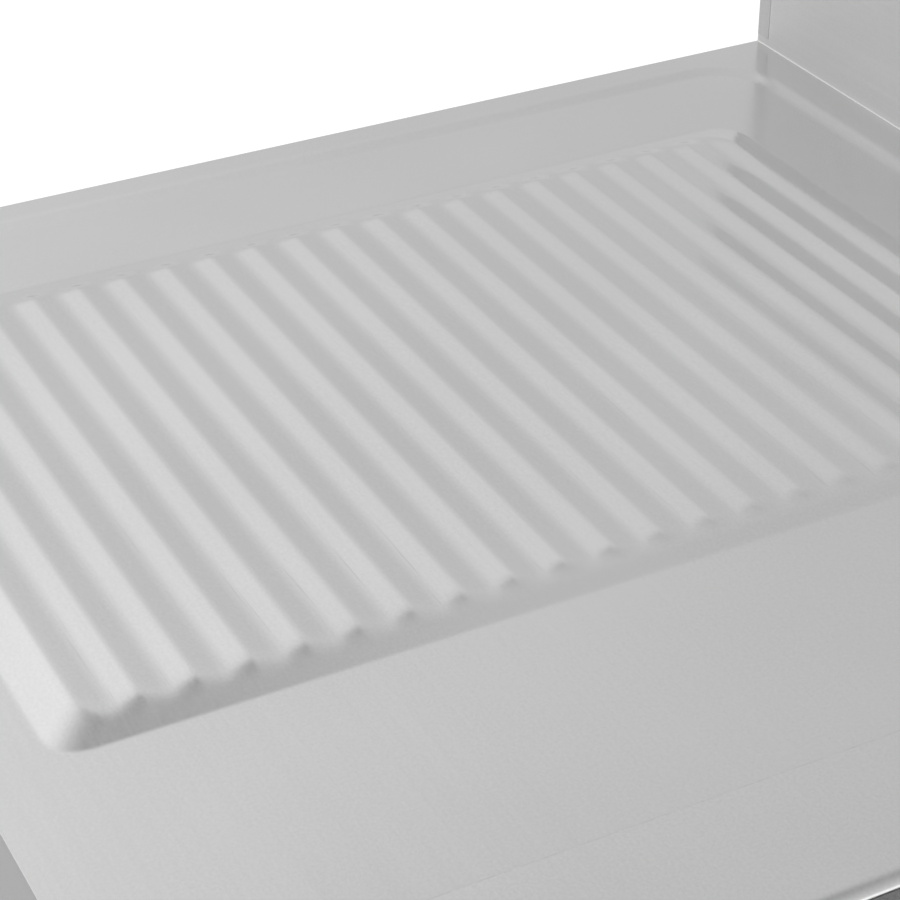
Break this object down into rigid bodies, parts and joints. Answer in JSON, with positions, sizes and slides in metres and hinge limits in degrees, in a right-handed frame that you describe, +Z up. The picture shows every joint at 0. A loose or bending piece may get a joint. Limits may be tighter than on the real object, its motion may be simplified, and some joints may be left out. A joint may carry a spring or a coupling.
{
  "type": "sink unit",
  "caption": "Free-standing stainless sink unit: pressed ribbed drainer on the left, one deep bowl, splashback, tube legs with levelling feet and an undershelf.",
  "frame": {"origin": "on the floor, under the middle of the unit's footprint", "axes": "+X along the unit from the drainer to the bowl, +Y from the front to the wall, +Z up"},
  "size_m": [1.2, 0.6, 1],
  "materials": {
    "deck_steel": "satin brushed stainless sheet",
    "bowl_steel": "satin pressed stainless",
    "shelf_steel": "brushed stainless sheet",
    "leg_steel": "brushed stainless tube",
    "frame_steel": "mill finish steel",
    "foot_steel": "turned stainless",
    "screw_steel": "zinc plated",
    "pipe_steel": "polished tube",
    "waste_chrome": "bright plated",
    "foot_plastic": "moulded black",
    "cap_plastic": "moulded black",
    "nut_plastic": "moulded white",
    "seal_rubber": "moulded black",
    "sound_pad": "bitumen sheet"
  },
  "bodies": {
    "unit": {"bowl": "bowl_steel", "bowl_sound_pad": "sound_pad", "channel_left": "frame_steel", "channel_middle": "frame_steel", "channel_right": "frame_steel", "foot_insert_front_left": "foot_plastic", "foot_insert_front_right": "foot_plastic", "foot_insert_rear_left": "foot_plastic", "foot_insert_rear_right": "foot_plastic", "leg_front_left": "leg_steel", "leg_front_right": "leg_steel", "leg_rear_left": "leg_steel", "leg_rear_right": "leg_steel", "leg_set_screws": "screw_steel", "leg_socket_front_left": "frame_steel", "leg_socket_front_right": "frame_steel", "leg_socket_rear_left": "frame_steel", "leg_socket_rear_right": "frame_steel", "shelf": "shelf_steel", "shelf_bolts": "screw_steel", "shelf_channel": "frame_steel", "splashback_cap_left": "deck_steel", "splashback_cap_right": "deck_steel", "tap_plate": "frame_steel", "waste_body": "waste_chrome", "waste_gasket": "seal_rubber", "waste_locknut": "nut_plastic", "waste_strainer": "waste_chrome", "waste_washer": "seal_rubber", "worktop": "deck_steel"},
    "standpipe": {"standpipe_bung": "seal_rubber", "standpipe_tube": "pipe_steel", "standpipe_cap": "cap_plastic"},
    "foot_front_left": {"foot_front_left": "foot_steel"},
    "foot_front_right": {"foot_front_right": "foot_steel"},
    "foot_rear_left": {"foot_rear_left": "foot_steel"},
    "foot_rear_right": {"foot_rear_right": "foot_steel"}
  },
  "joints": [
    {"name": "standpipe_lift", "type": "slide", "parent": "unit", "child": "standpipe", "axis": [0, 0, 1], "range_m": [0, 0.28]},
    {"name": "foot_front_left_level", "type": "slide", "parent": "unit", "child": "foot_front_left", "axis": [0, 0, -1], "range_m": [-0.012, 0.018]},
    {"name": "foot_front_right_level", "type": "slide", "parent": "unit", "child": "foot_front_right", "axis": [0, 0, -1], "range_m": [-0.012, 0.018]},
    {"name": "foot_rear_left_level", "type": "slide", "parent": "unit", "child": "foot_rear_left", "axis": [0, 0, -1], "range_m": [-0.012, 0.018]},
    {"name": "foot_rear_right_level", "type": "slide", "parent": "unit", "child": "foot_rear_right", "axis": [0, 0, -1], "range_m": [-0.012, 0.018]}
  ]
}
